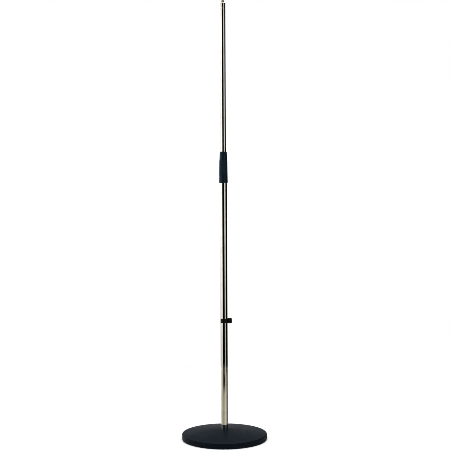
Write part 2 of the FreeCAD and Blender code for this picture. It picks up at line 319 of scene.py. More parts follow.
def makeHandledGroup():
    # the uneven film that hands and wiping leave
    tree, given, result = startGroup("Handled film", {"Coordinates": None, "Amount": 0.5},
                                     {"Mask": 'NodeSocketFloat'})
    cloudy = addNode(tree, 'ShaderNodeTexNoise', (-500, 200), values={'Scale': 28.0, 'Detail': 5.0,
                     'Roughness': 0.6, 'Distortion': 0.8})
    prints = addNode(tree, 'ShaderNodeTexNoise', (-500, -100), values={'Scale': 170.0, 'Detail': 3.0,
                     'Distortion': 1.5})
    for node in (cloudy, prints):
        tree.links.new(given.outputs['Coordinates'], node.inputs['Vector'])
    low = addNode(tree, 'ShaderNodeMapRange', (-250, 200), {'interpolation_type': 'SMOOTHSTEP'},
                  {'From Min': 0.4, 'From Max': 0.7})
    tree.links.new(cloudy.outputs['Fac'], low.inputs['Value'])
    mixed = combine(tree, 'MULTIPLY', low.outputs[0], prints.outputs['Fac'], (0, 100))
    total = combine(tree, 'MULTIPLY', mixed, given.outputs['Amount'], (250, 100))
    tree.links.new(total, result.inputs['Mask'])
    return tree


def makeWearGroup():
    # wear on the outer edges, broken up so that it isn't a drawn line
    tree, given, result = startGroup("Edge wear", {"Coordinates": None, "Width": 0.0006, "Amount": 0.5,
                                     "Patches Per Metre": 220.0}, {"Mask": 'NodeSocketFloat'})
    rounded = addNode(tree, 'ShaderNodeBevel', (-600, 200), {'samples': 6})
    tree.links.new(given.outputs['Width'], rounded.inputs['Radius'])
    surface = addNode(tree, 'ShaderNodeNewGeometry', (-600, 0))
    along = addNode(tree, 'ShaderNodeVectorMath', (-400, 100), {'operation': 'DOT_PRODUCT'})
    tree.links.new(rounded.outputs['Normal'], along.inputs[0])
    tree.links.new(surface.outputs['Normal'], along.inputs[1])
    edge = addNode(tree, 'ShaderNodeMapRange', (-200, 100), values={'From Min': 0.995, 'From Max': 0.93})
    tree.links.new(along.outputs['Value'], edge.inputs['Value'])
    patches = addNode(tree, 'ShaderNodeTexNoise', (-400, -200), values={'Detail': 5.0, 'Roughness': 0.7})
    tree.links.new(given.outputs['Coordinates'], patches.inputs['Vector'])
    tree.links.new(given.outputs['Patches Per Metre'], patches.inputs['Scale'])
    broken = addNode(tree, 'ShaderNodeMapRange', (-200, -200), values={'From Min': 0.42, 'From Max': 0.62})
    tree.links.new(patches.outputs['Fac'], broken.inputs['Value'])
    both = combine(tree, 'MULTIPLY', edge.outputs[0], broken.outputs[0], (100, 0))
    total = combine(tree, 'MULTIPLY', both, given.outputs['Amount'], (300, 0))
    tree.links.new(total, result.inputs['Mask'])
    return tree


def makeDustGroup():
    # dust that has settled on what faces up
    tree, given, result = startGroup("Settled dust", {"Coordinates": None, "Amount": 0.3},
                                     {"Mask": 'NodeSocketFloat'})
    surface = addNode(tree, 'ShaderNodeNewGeometry', (-600, 200))
    parts = addNode(tree, 'ShaderNodeSeparateXYZ', (-400, 200))
    tree.links.new(surface.outputs['Normal'], parts.inputs[0])
    facing = addNode(tree, 'ShaderNodeMapRange', (-200, 200), {'interpolation_type': 'SMOOTHSTEP'},
                     {'From Min': 0.5, 'From Max': 1.0})
    tree.links.new(parts.outputs['Z'], facing.inputs['Value'])
    clouds = addNode(tree, 'ShaderNodeTexNoise', (-400, -100), values={'Scale': 22.0, 'Detail': 6.0,
                     'Roughness': 0.65})
    specks = addNode(tree, 'ShaderNodeTexNoise', (-400, -350), values={'Scale': 1900.0, 'Detail': 2.0})
    for node in (clouds, specks):
        tree.links.new(given.outputs['Coordinates'], node.inputs['Vector'])
    thick = addNode(tree, 'ShaderNodeMapRange', (-200, -100), values={'From Min': 0.35, 'From Max': 0.75,
                    'To Min': 0.15})
    tree.links.new(clouds.outputs['Fac'], thick.inputs['Value'])
    speckled = combine(tree, 'MULTIPLY', thick.outputs[0], specks.outputs['Fac'], (0, -200))
    both = combine(tree, 'MULTIPLY', facing.outputs[0], speckled, (200, 0))
    total = combine(tree, 'MULTIPLY', both, given.outputs['Amount'], (400, 0))
    tree.links.new(total, result.inputs['Mask'])
    return tree


grainGroup = makeGrainGroup()
drawnGroup = makeDrawnGroup()
handledGroup = makeHandledGroup()
wearGroup = makeWearGroup()
dustGroup = makeDustGroup()
print("shared effects made")


nickelLook = {"clean": (0.70, 0.675, 0.62), "tarnish": (0.52, 0.47, 0.39), "polish": 0.045, "film": 0.13,
              "marks": 0.10}


def nickelPlate(name, slideMarks):
    # warm nickel over polished steel; slideMarks is how much the clutch or the clip has rubbed it
    material, tree, shader, where = startMaterial(name, {'Metallic': 1.0})
    film = useGroup(tree, handledGroup, (-1000, 300), {'Amount': 1.0})
    rings = useGroup(tree, drawnGroup, (-1000, 0), {'Across Per Metre': 18.0, 'Along Per Metre': 2600.0,
                     'Amount': 0.5})
    slides = useGroup(tree, drawnGroup, (-1000, -300), {'Across Per Metre': 1500.0, 'Along Per Metre': 3.0,
                      'Amount': slideMarks})
    for group in (film, rings, slides):
        tree.links.new(where, group.inputs['Coordinates'])
    marks = combine(tree, 'MAXIMUM', rings.outputs['Mask'], slides.outputs['Mask'], (-700, -150))
    tree.links.new(blendColours(tree, film.outputs['Mask'], nickelLook["clean"], nickelLook["tarnish"],
                   (-400, 300)), shader.inputs['Base Color'])
    filmed = fade(tree, film.outputs['Mask'], nickelLook["polish"], nickelLook["film"], (-500, 100))
    rubbed = combine(tree, 'MULTIPLY', marks, nickelLook["marks"], (-500, -100))
    tree.links.new(combine(tree, 'ADD', filmed, rubbed, (-300, 0)), shader.inputs['Roughness'])
    addBump(tree, shader, marks, 0.00001, 0.12, (-300, -300))
    return material


coatLook = {"paint": (0.0010, 0.0046, 0.0100), "worn": (0.020, 0.024, 0.027), "dust": (0.13, 0.16, 0.175),
            "grains": 1150.0, "grainDepth": 0.00022, "gloss": 0.38, "matt": 0.48, "dusted": 0.06}


def powderCoat():
    # fine textured black on cast iron, rubbed a little on the rim, with dust on the crown
    material, tree, shader, where = startMaterial("Powder coat", {'Specular IOR Level': 0.07})
    grain = useGroup(tree, grainGroup, (-1000, 300), {'Grains Per Metre': coatLook["grains"],
                     'Roundness': 0.6})
    wear = useGroup(tree, wearGroup, (-1000, 0), {'Width': 0.0012, 'Amount': 0.7})
    dust = useGroup(tree, dustGroup, (-1000, -300), {'Amount': coatLook["dusted"]})
    film = useGroup(tree, handledGroup, (-1000, -600), {'Amount': 1.0})
    for group in (grain, wear, dust, film):
        tree.links.new(where, group.inputs['Coordinates'])
    rubbed = blendColours(tree, wear.outputs['Mask'], coatLook["paint"], coatLook["worn"], (-600, 300))
    tree.links.new(blendColours(tree, dust.outputs['Mask'], rubbed, coatLook["dust"], (-350, 300)),
                   shader.inputs['Base Color'])
    gloss = fade(tree, film.outputs['Mask'], coatLook["matt"], coatLook["gloss"], (-600, 0))
    dusty = combine(tree, 'MULTIPLY', dust.outputs['Mask'], 0.8, (-600, -200))
    tree.links.new(combine(tree, 'ADD', gloss, dusty, (-350, 0)), shader.inputs['Roughness'])
    addBump(tree, shader, grain.outputs['Height'], coatLook["grainDepth"], 0.75, (-350, -300))
    return material


satinLook = {"paint": (0.0032, 0.0150, 0.0265), "worn": (0.050, 0.056, 0.060), "gloss": 0.28, "matt": 0.42}


def satinBlack():
    # the clutch's metal shells
    material, tree, shader, where = startMaterial("Satin black coat", {'Specular IOR Level': 0.15})
    grain = useGroup(tree, grainGroup, (-1000, 300), {'Grains Per Metre': 3200.0, 'Roundness': 0.2})
    wear = useGroup(tree, wearGroup, (-1000, 0), {'Width': 0.0005, 'Amount': 0.8,
                    'Patches Per Metre': 500.0})
    film = useGroup(tree, handledGroup, (-1000, -300), {'Amount': 1.0})
    for group in (grain, wear, film):
        tree.links.new(where, group.inputs['Coordinates'])
    tree.links.new(blendColours(tree, wear.outputs['Mask'], satinLook["paint"], satinLook["worn"],
                   (-400, 300)), shader.inputs['Base Color'])
    gloss = fade(tree, film.outputs['Mask'], satinLook["matt"], satinLook["gloss"], (-400, 0))
    tree.links.new(gloss, shader.inputs['Roughness'])
    addBump(tree, shader, grain.outputs['Height'], 0.00004, 0.5, (-350, -300))
    return material


def blackRubber(name, colour, grains, depth, dustAmount):
    # moulded rubber; hands polish it where it is held
    material, tree, shader, where = startMaterial(name, {'Specular IOR Level': 0.1})
    grain = useGroup(tree, grainGroup, (-1000, 300), {'Grains Per Metre': grains, 'Roundness': 0.35})
    film = useGroup(tree, handledGroup, (-1000, 0), {'Amount': 1.0})
    dust = useGroup(tree, dustGroup, (-1000, -300), {'Amount': dustAmount})
    for group in (grain, film, dust):
        tree.links.new(where, group.inputs['Coordinates'])
    held = blendColours(tree, film.outputs['Mask'], colour, [c * 0.6 for c in colour], (-600, 300))
    tree.links.new(blendColours(tree, dust.outputs['Mask'], held, (0.17, 0.17, 0.16), (-350, 300)),
                   shader.inputs['Base Color'])
    tree.links.new(fade(tree, film.outputs['Mask'], 0.66, 0.44, (-400, 0)), shader.inputs['Roughness'])
    addBump(tree, shader, grain.outputs['Height'], depth, 0.6, (-350, -300))
    return material


def mouldedNylon(name, colour, roughness):
    # matt moulded skin with glossier, paler edges where it has been rubbed
    material, tree, shader, where = startMaterial(name, {'Specular IOR Level': 0.2})
    grain = useGroup(tree, grainGroup, (-1000, 300), {'Grains Per Metre': 2600.0, 'Roundness': 0.5})
    wear = useGroup(tree, wearGroup, (-1000, 0), {'Width': 0.0005, 'Amount': 0.6,
                    'Patches Per Metre': 600.0})
    for group in (grain, wear):
        tree.links.new(where, group.inputs['Coordinates'])
    pale = [min(1.0, c * 1.6 + 0.012) for c in colour]
    tree.links.new(blendColours(tree, wear.outputs['Mask'], colour, pale, (-400, 300)),
                   shader.inputs['Base Color'])
    mottled = fade(tree, grain.outputs['Tone'], roughness - 0.06, roughness + 0.08, (-600, 0))
    polished = combine(tree, 'MULTIPLY', wear.outputs['Mask'], 0.15, (-600, -200))
    tree.links.new(combine(tree, 'SUBTRACT', mottled, polished, (-350, 0)), shader.inputs['Roughness'])
    addBump(tree, shader, grain.outputs['Height'], 0.00005, 0.55, (-350, -300))
    return material


def turnedSteel(name, bright, dull, roughness):
    # turned rings, with a dull film in cloudy patches
    material, tree, shader, where = startMaterial(name, {'Metallic': 1.0})
    rings = useGroup(tree, drawnGroup, (-1000, 300), {'Across Per Metre': 40.0, 'Along Per Metre': 5200.0,
                     'Amount': 1.0})
    film = useGroup(tree, handledGroup, (-1000, 0), {'Amount': 1.6})
    for group in (rings, film):
        tree.links.new(where, group.inputs['Coordinates'])
    tree.links.new(blendColours(tree, film.outputs['Mask'], bright, dull, (-400, 300)),
                   shader.inputs['Base Color'])
    cut = combine(tree, 'MULTIPLY', rings.outputs['Mask'], 0.2, (-600, 0))
    tree.links.new(combine(tree, 'ADD', cut, roughness, (-350, 0)), shader.inputs['Roughness'])
    addBump(tree, shader, rings.outputs['Mask'], 0.00003, 0.5, (-350, -300))
    return material


tubeNickel = nickelPlate("Nickel plate", 0.25)
rodNickel = nickelPlate("Nickel plate on the rod", 0.6)
coat = powderCoat()
clutchBlack = satinBlack()
gripRubber = blackRubber("Grip rubber", (0.0065, 0.0225, 0.0380), 2400.0, 0.00005, 0.03)
footRubber = blackRubber("Foot rubber", (0.016, 0.016, 0.016), 1500.0, 0.00008, 0.4)
clipNylon = mouldedNylon("Black nylon", (0.0015, 0.0015, 0.0019), 0.46)
acetal = mouldedNylon("Natural acetal", (0.66, 0.65, 0.60), 0.38)
plainSteel = turnedSteel("Turned steel", (0.56, 0.55, 0.53), (0.30, 0.28, 0.25), 0.26)
studSteel = turnedSteel("Yellow zinc", (0.72, 0.68, 0.54), (0.46, 0.41, 0.27), 0.38)
print("finishes made")


# the cast base; sizes here and below are in millimetres
baseShape = {"rimHeight": 16.5, "rimRound": 2.2, "lowerChamfer": 1.0, "bulge": 1.3, "crownRings": 18,
             "crownInset": 2.0, "underRings": 8, "seatRadius": 14.0, "shellWall": 5.5, "rimWidth": 12.0,
             "bossRadius": 23.0, "bossClear": 6.0, "screwRadius": 8.1, "grooveIn": 115.0,
             "grooveOut": 121.0, "grooveTop": 4.2, "ribs": 6, "ribWall": 5.0, "ribDraft": 0.7,
             "ribRound": 0.9, "ribBite": 2.0, "sides": 192}


def crownHeight(radius, drop):
    # the crown's curve between the rim and the seat, lowered by drop
    shape = baseShape
    rim, seat = sizeOf("base_casting")[0] - shape["crownInset"], shape["seatRadius"]
    crown = sizeOf("lower_tube")[1]
    share = (radius - seat) / (rim - seat)
    straight = crown + (shape["rimHeight"] - crown) * share
    return straight + shape["bulge"] * 4 * share * (1 - share) - drop


def makeRib(turn):
    # a rib from the boss to the rim; it bites a little into both and into the shell above it
    shape = baseShape
    bite = shape["ribBite"]
    inner, outer = shape["bossRadius"] - bite, sizeOf("base_casting")[0] - shape["rimWidth"] + bite
    low = shape["bossClear"]
    inTop = crownHeight(inner, shape["shellWall"]) + bite
    outTop = crownHeight(outer, shape["shellWall"]) + bite
    deselectAll()
    middle = ((inner + outer) / 2 * mm, 0, (low + inTop) / 2 * mm)
    bpy.ops.mesh.primitive_cube_add(size=1, location=middle)
    rib = bpy.context.object
    rib.scale = ((outer - inner) * mm, shape["ribWall"] * mm, (inTop - low) * mm)
    bpy.ops.object.transform_apply(location=True, rotation=True, scale=True)
    # the far end's top comes down to the shell there
    selectPoints(rib, lambda co: co.x > (outer - 1) * mm and co.z > (low + 1) * mm)
    bpy.ops.transform.translate(value=(0, 0, (outTop - inTop) * mm))
    # the lower edge is drawn in as in a mould, and rounded
    selectPoints(rib, lambda co: co.z < (low + 1) * mm)
    narrow = 1 - 2 * shape["ribDraft"] / shape["ribWall"]
    bpy.ops.transform.resize(value=(1, narrow, 1))
    bpy.ops.object.mode_set(mode='OBJECT')
    applyModifier(rib, 'BEVEL', width=shape["ribRound"] * mm, segments=3, limit_method='ANGLE')
    makeActive(rib)
    rib.rotation_euler.z = turn
    bpy.ops.object.transform_apply(location=True, rotation=True, scale=True)
    return rib


def makeBase():
    shape = baseShape
    edge, low = sizeOf("base_casting")[:2]
    crown = sizeOf("lower_tube")[1]
    rimIn, seat, boss = edge - shape["rimWidth"], shape["seatRadius"], shape["bossRadius"]
    corners = [(shape["screwRadius"], crown), (seat, crown)]
    for radius in spanned(seat, edge - shape["crownInset"], shape["crownRings"]):
        corners.append((radius, crownHeight(radius, 0)))
    corners += [(edge, shape["rimHeight"] - 0.15, shape["rimRound"]),
                (edge, low + shape["lowerChamfer"], 0.4), (edge - shape["lowerChamfer"], low, 0.4),
                (shape["grooveOut"], low),
                (shape["grooveOut"], shape["grooveTop"]), (shape["grooveIn"], shape["grooveTop"]),
                (shape["grooveIn"], low), (rimIn, low, 0.8)]
    for radius in [rimIn, *spanned(rimIn, boss, shape["underRings"]), boss]:
        corners.append((radius, crownHeight(radius, shape["shellWall"])))
    corners += [(boss, shape["bossClear"], 1.2), (shape["screwRadius"], shape["bossClear"], 0.5)]
    base = turned("baseCasting", softened(corners), shape["sides"])
    ribs = joinPieces([makeRib(math.tau * (i + 0.5) / shape["ribs"]) for i in range(shape["ribs"])])
    booleanWith(base, ribs, 'UNION')
    settle(base, "baseCasting")
    return finishPiece(base, "stand", "base_coat", coat, "base_casting")


footShape = {"round": 1.0, "gap": 0.02, "sides": 192}


def makeFoot():
    # rubber ring in the rim's groove
    shape = footShape
    low, high = sizeOf("base_rubber_ring")[1:]
    edge = baseShape["grooveOut"] - shape["gap"]
    inner = baseShape["grooveIn"] + shape["gap"]
    ring = turned("baseRubberRing", softened([
        (inner, high, 0.3), (edge, high, 0.3), (edge, low, shape["round"]), (inner, low, shape["round"])]),
        shape["sides"])
    return finishPiece(ring, "stand", "foot_rubber", footRubber, "base_rubber_ring")


makeBase()
makeFoot()
print("base made")


# the two tubes and what is on top of them
tubeShape = {"wall": 1.5, "edge": 0.25, "sides": 128, "span": 24}


def makeLowerTube():
    shape = tubeShape
    outer, low, high = sizeOf("lower_tube")
    inner = outer - shape["wall"]
    corners = [(inner, low, shape["edge"]), (outer, low, shape["edge"])]
    corners += [(outer, z) for z in spanned(low, high, shape["span"])]
    corners += [(outer, high, shape["edge"]), (inner, high, shape["edge"])]
    tube = turned("lowerTube", softened(corners, 3), shape["sides"])
    return finishPiece(tube, "stand", "plated_tube", tubeNickel, "lower_tube")


rodShape = {"radius": 8.0, "wall": 1.2, "edge": 0.25, "topEdge": 0.45, "beadRadius": 0.55,
            "beadAbove": 14.85, "sides": 128, "span": 24}


def makeRod():
    shape = rodShape
    low, high = sizeOf("extension_rod")[1:]
    outer, inner = shape["radius"], shape["radius"] - shape["wall"]
    bead, beadRound = low + shape["beadAbove"], shape["beadRadius"]
    corners = [(inner, low, shape["edge"]), (outer, low, shape["edge"])]
    for k in range(9):
        turn = math.pi * (k / 8 - 0.5)
        corners.append((outer + beadRound * math.cos(turn), bead + beadRound * math.sin(turn)))
    corners += [(outer, z) for z in spanned(bead + 4, high, shape["span"])]
    corners += [(outer, high, shape["topEdge"]), (inner, high, shape["edge"])]
    rod = turned("extensionRod", softened(corners, 3), shape["sides"])
    return finishPiece(rod, "upper_rod", "plated_tube", rodNickel, "extension_rod")


collarShape = {"bevel": 1.4, "groove": 0.5, "edge": 0.2, "wall": 1.22, "spigot": 20.0, "shank": 4.02,
               "shankDepth": 12.0, "sides": 128}


def makeCollar():
    shape = collarShape
    outer, low, high = sizeOf("rod_top_collar")
    seat = low + shape["spigot"]
    spigot = outer - shape["wall"]
    floor = high - shape["shankDepth"]
    corners = [(0, low), (spigot, low, 0.5), (spigot, seat), (outer - shape["groove"], seat),
               (outer, seat + shape["groove"], 0.12), (outer, high - shape["bevel"], shape["edge"]),
               (outer - shape["bevel"], high, shape["edge"]), (shape["shank"], high, 0.15),
               (shape["shank"], floor), (0, floor)]
    collar = turned("rodTopCollar", softened(corners, 3), shape["sides"])
    return finishPiece(collar, "upper_rod", "plated_tube", rodNickel, "rod_top_collar")


studShape = {"pitch": 1.5875, "depth": 0.86, "crest": 0.14, "root": 0.18, "bevel": 0.8, "relief": 0.5,
             "runOut": 0.9, "shank": 4.0, "shankBevel": 0.4, "spare": 3.0, "sides": 96, "turns": 8}


def makeStud():
    # a ridge with the thread's section is wound up a core and joined to it, then cut to the
    # turned blank that gives the stud its relief and its chamfer
    shape = studShape
    crest, low, high = sizeOf("microphone_stud")
    seat = sizeOf("rod_top_collar")[2]
    root, pitch = crest - shape["depth"], shape["pitch"]
    flat, foot = pitch * shape["crest"] / 2, pitch * (1 - shape["root"]) / 2
    start = seat - pitch
    ridge = traced([(root - 0.3, start - foot), (root, start - foot), (crest + 0.05, start - flat),
                    (crest + 0.05, start + flat), (root, start + foot), (root - 0.3, start + foot)])
    bpy.ops.object.mode_set(mode='OBJECT')
    bpy.ops.object.transform_apply(location=True, rotation=True, scale=True)
    applyModifier(ridge, 'SCREW', angle=math.tau, screw_offset=pitch * mm, iterations=shape["turns"],
                  steps=shape["sides"], render_steps=shape["sides"])
    makeActive(ridge)
    bpy.ops.object.mode_set(mode='EDIT')
    bpy.ops.mesh.select_all(action='SELECT')
    bpy.ops.mesh.remove_doubles(threshold=0.002 * mm)
    bpy.ops.mesh.fill_holes(sides=0)
    bpy.ops.mesh.normals_make_consistent(inside=False)
    bpy.ops.object.mode_set(mode='OBJECT')
    bottom, top = seat - shape["spare"], high + shape["spare"]
    stud = turned("microphoneStud", [(0, bottom), (root, bottom), (root, top), (0, top)], shape["sides"])
    booleanWith(stud, ridge, 'UNION')
    blank = turned("blank", softened([
        (0, seat), (root - 0.05, seat), (root - 0.05, seat + shape["relief"]),
        (crest, seat + shape["relief"] + shape["runOut"]), (crest, high - shape["bevel"]),
        (crest - shape["bevel"], high, 0.15), (0, high)]), shape["sides"])
    booleanWith(stud, blank, 'INTERSECT')
    shank, bevel = shape["shank"], shape["shankBevel"]
    shank = turned("shank", [(0, low), (shank - bevel, low), (shank, low + bevel),
                             (shank, seat + 0.3), (0, seat + 0.3)], shape["sides"])
    booleanWith(stud, shank, 'UNION')
    settle(stud, "microphoneStud", 28)
    return finishPiece(stud, "upper_rod", "stud_steel", studSteel, "microphone_stud")


makeLowerTube()
makeRod()
makeCollar()
makeStud()
print("column made")


# the clutch: the housing stays on the tube, the nut and the grip turn on it
housingShape = {"socket": 10.52, "flange": 12.5, "lip": 0.3, "lipHeight": 6.5, "footRound": 2.6,
                "shoulder": 0.5, "neck": 10.05, "bore": 8.25, "edge": 0.3, "sides": 128}


def makeHousing():
    shape = housingShape
    low, high = sizeOf("clutch_housing")[1:]
    tubeTop = sizeOf("lower_tube")[2]
    top = tubeTop + shape["shoulder"]
    wide = shape["flange"] + shape["lip"]
    corners = [(shape["socket"], low, 0.4), (wide, low, shape["footRound"]),
               (wide, low + shape["lipHeight"], 6.0),
               (shape["flange"], low + 2 * shape["lipHeight"], 6.0), (shape["flange"], top, shape["edge"]),
               (shape["neck"], top), (shape["neck"], high, shape["edge"]), (shape["bore"], high),
               (shape["bore"], tubeTop), (shape["socket"], tubeTop)]
    housing = turned("clutchHousing", softened(corners, 6), shape["sides"])
    return finishPiece(housing, "stand", "clutch_black", clutchBlack, "clutch_housing")


nutShape = {"thread": 10.15, "wall": 11.05, "shoulder": 11.5, "nose": 10.25, "bore": 8.25, "lipLength": 6.0,
            "cone": 14.0, "coneTop": 9.11, "noseRound": 0.9, "sides": 128}


def makeNut():
    shape = nutShape
    low, high = sizeOf("clutch_nut")[1:]
    gripTop = sizeOf("clutch_grip")[2]
    coneTop = high - shape["lipLength"]
    corners = [(shape["thread"], low), (shape["wall"], low), (shape["wall"], gripTop),
               (shape["shoulder"], gripTop, 0.15), (shape["nose"], high, shape["noseRound"]),
               (shape["bore"], high, 0.35), (shape["bore"], coneTop), (shape["coneTop"], coneTop),
               (shape["thread"], coneTop - shape["cone"])]
    nut = turned("clutchNut", softened(corners, 6), shape["sides"])
    return finishPiece(nut, "twist_grip", "clutch_black", clutchBlack, "clutch_nut")


gripShape = {"inside": 11.07, "top": 11.95, "topRound": 4.5, "topInset": 0.42, "flutes": 12,
             "depth": 0.38, "halfWidth": 5, "plain": 6.0, "rows": 12, "run": 2.2, "levels": 5, "sides": 360}


def makeGrip():
    # a plain sleeve first, then the points under each flute are drawn in, a little more for each
    # row and level, so that a flute has a round section and runs out at both ends
    shape = gripShape
    outer, low, high = sizeOf("clutch_grip")
    shoulder = high - shape["topRound"]
    ends = (low + shape["plain"], high - shape["plain"])
    runs = [shape["run"] * k / shape["levels"] for k in range(shape["levels"] + 1)]
    rows = [ends[0] + run for run in runs]
    rows += spanned(ends[0] + shape["run"], ends[1] - shape["run"], shape["rows"])
    rows += [ends[1] - run for run in reversed(runs)]
    corners = [(shape["inside"], low), (outer, low, 0.35)]
    corners += [(outer + (shape["top"] - outer) * (z - low) / (shoulder - low), z) for z in rows]
    corners += [(shape["top"], shoulder, 6.0), (shape["top"] - shape["topInset"], high, 0.25),
                (shape["inside"], high)]
    grip = turned("clutchGrip", softened(corners, 4), shape["sides"], 40)
    pitch = math.tau / shape["flutes"]
    step = math.tau / shape["sides"]
    for offset in range(-shape["halfWidth"] + 1, shape["halfWidth"]):
        share = 1 - (offset / shape["halfWidth"]) ** 2
        shrink = 1 - shape["depth"] * share / shape["levels"] / shape["top"]
        for level in range(shape["levels"]):
            first, last = ends[0] + runs[level] + 0.05, ends[1] - runs[level] - 0.05

            def underFlute(co):
                turn = math.atan2(co.y, co.x) - offset * step
                near = abs(turn - round(turn / pitch) * pitch) < step / 3
                outside = math.hypot(co.x, co.y) > outer * 0.94 * mm
                return near and outside and first < co.z / mm < last

            selectPoints(grip, underFlute)
            bpy.ops.transform.resize(value=(shrink, shrink, 1), center_override=(0, 0, 0))
            bpy.ops.object.mode_set(mode='OBJECT')
    settle(grip, "clutchGrip", 50)
    return finishPiece(grip, "twist_grip", "grip_rubber", gripRubber, "clutch_grip")


makeHousing()
makeNut()
makeGrip()
print("clutch made")


# the cable clip: a ring round the tube, a hook on its right and a web between them
clipShape = {"bore": 10.56, "wall": 1.8, "mouth": 35.0, "seat": 3.6, "hookWall": 1.8, "hookMouth": 44.0,
             "hookX": 18.66, "web": 7.0, "webLength": 0.9, "lip": 1.15, "ringHeight": 13.0, "corner": 3.2,
             "steps": 72, "detail": 0.25, "polish": 5}


def sweptArc(centreX, inner, outer, low, high, start, sweep):
    # an upright strip, spun anticlockwise to a C, then turned and moved to its place
    shape = clipShape
    deselectAll()
    bpy.ops.mesh.primitive_plane_add(size=1, rotation=(math.pi / 2, 0, 0),
                                     location=((inner + outer) / 2 * mm, 0, (low + high) / 2 * mm))
    arc = bpy.context.object
    arc.scale = ((outer - inner) * mm, (high - low) * mm, 1)
    bpy.ops.object.transform_apply(location=True, rotation=True, scale=True)
    bpy.ops.object.mode_set(mode='EDIT')
    bpy.ops.mesh.select_all(action='SELECT')
    bpy.ops.mesh.spin(steps=shape["steps"], angle=-math.radians(sweep), center=(0, 0, 0), axis=(0, 0, 1))
    bpy.ops.mesh.select_all(action='SELECT')
    bpy.ops.mesh.normals_make_consistent(inside=False)
    bpy.ops.object.mode_set(mode='OBJECT')
    arc.rotation_euler.z = math.radians(start)
    arc.location.x = centreX * mm
    bpy.ops.object.transform_apply(location=True, rotation=True, scale=True)
    return arc


def post(x, y, radius, low, high):
    deselectAll()
    bpy.ops.mesh.primitive_cylinder_add(vertices=32, radius=radius * mm, depth=(high - low) * mm,
                                        location=(x * mm, y * mm, (low + high) / 2 * mm))
    piece = bpy.context.object
    bpy.ops.object.transform_apply(location=True, rotation=True, scale=True)
    return piece


def makeClip():
    shape = clipShape
    low, high = sizeOf("cable_clip")[1:]
    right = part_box("cable_clip")[1].x / mm
    outer, hookOuter = shape["bore"] + shape["wall"], shape["seat"] + shape["hookWall"]
    ringSweep, hookSweep = 360 - 2 * shape["mouth"], 360 - 2 * shape["hookMouth"]
    parts = [sweptArc(0, shape["bore"], outer, low, high, 180 + shape["mouth"], ringSweep),
             sweptArc(shape["hookX"], shape["seat"], hookOuter, low, high, shape["hookMouth"], hookSweep)]
    for side in (-1, 1):
        turn = math.radians(180 + side * shape["mouth"])
        reach = outer - shape["wall"] / 2
        parts.append(post(reach * math.cos(turn), reach * math.sin(turn), shape["wall"] / 2, low, high))
        turn = math.radians(side * shape["hookMouth"])
        reach = shape["seat"] + shape["lip"]
        across = shape["hookX"] + reach * math.cos(turn)
        parts.append(post(across, reach * math.sin(turn), shape["lip"], low, high))
    start, end = outer - 0.6, shape["hookX"] - shape["seat"] - 0.4
    parts.append(slab([(start, low), (end, low), (end, high), (start, high)], shape["web"] / 2))
    clip = joinPieces(parts)
    # seen from the front, the ring is lower than the hook and the hook's corners are round
    ringLow, ringHigh = (low + high - shape["ringHeight"]) / 2, (low + high + shape["ringHeight"]) / 2
    stepIn, stepOut = shape["bore"], outer + shape["webLength"]
    corner = shape["corner"]
    left = -outer - 1
    side = softened([(left, ringLow), (stepIn, ringLow), (stepOut, low), (right, low, corner),
                     (right, high, corner), (stepOut, high), (stepIn, ringHigh), (left, ringHigh)], 12)
    booleanWith(clip, slab(side, 2 * outer), 'INTERSECT', True)
    # remeshing joins the parts into one moulding, and smoothing gives it its fillets
    applyModifier(clip, 'REMESH', mode='VOXEL', voxel_size=shape["detail"] * mm, adaptivity=0)
    applyModifier(clip, 'SMOOTH', factor=0.5, iterations=shape["polish"])
    settle(clip, "cableClip", 180)
    return finishPiece(clip, "cable_clip", "clip_plastic", clipNylon, "cable_clip")


makeClip()
print("clip made")


# the nodes inside the stand keep their shape and get their finish
insideFinishes = {"tube_foot_plug": plainSteel, "rod_end_plug": plainSteel, "landing_buffer": footRubber,
                  "clutch_collet": acetal, "rod_glide_ring": acetal}
for node, material in insideFinishes.items():
    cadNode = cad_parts[node]
    cadNode.data.materials.clear()
    cadNode.data.materials.append(material)
print("inner parts finished")


# the floor's warm tint and its first and second fades serve only the painted reflection that bright metal
# sees in the floor
studioShape = {"floorRadius": 1.3, "floorThick": 0.02, "floorTone": (0.97, 0.97, 0.965),
               "paintedReflectionTint": (1.05, 1.0, 0.82), "firstFade": (0.68, 0.86), "secondFade": (1.06, 1.2),
               "white": 1.6, "behind": 0.65, "pale": 0.95, "dark": 0.004, "ceiling": 3.0,
               "ceilingFade": (0.74, 0.84), "backdrop": 1.0, "filmed": 0.985}

# what stands round the stand: the angle from the front (degrees, to the right) where each panel
# starts. Soft boxes on the left, a pale strip on the right, dark gaps between them
surround = [(-180, "behind"), (-145, "white"), (-43, "dark"), (26, "pale"), (65, "dark"), (158, "behind")]

# how bright the panels are from below the floor line (-1) up to overhead (1)
panelLevels = [(-0.16, 0.5), (0.0, 1.0), (0.23, 1.0), (0.33, 0.1), (0.70, 0.1)]


def fadeBetween(tree, value, ends, place):
    # 0 below the first end, 1 above the second
    node = addNode(tree, 'ShaderNodeMapRange', place, values={'From Min': ends[0], 'From Max': ends[1]})
    tree.links.new(value, node.inputs['Value'])
    return node.outputs[0]


def addRamp(tree, value, stops, place):
    # stops are (position from 0 to 1, brightness)
    ramp = addNode(tree, 'ShaderNodeValToRGB', place)
    tree.links.new(value, ramp.inputs[0])
    elements = ramp.color_ramp.elements
    elements.remove(elements[1])
    elements[0].position = stops[0][0]
    elements[0].color = (stops[0][1],) * 3 + (1,)
    for position, brightness in stops[1:]:
        elements.new(position).color = (brightness,) * 3 + (1,)
    return ramp.outputs['Color']
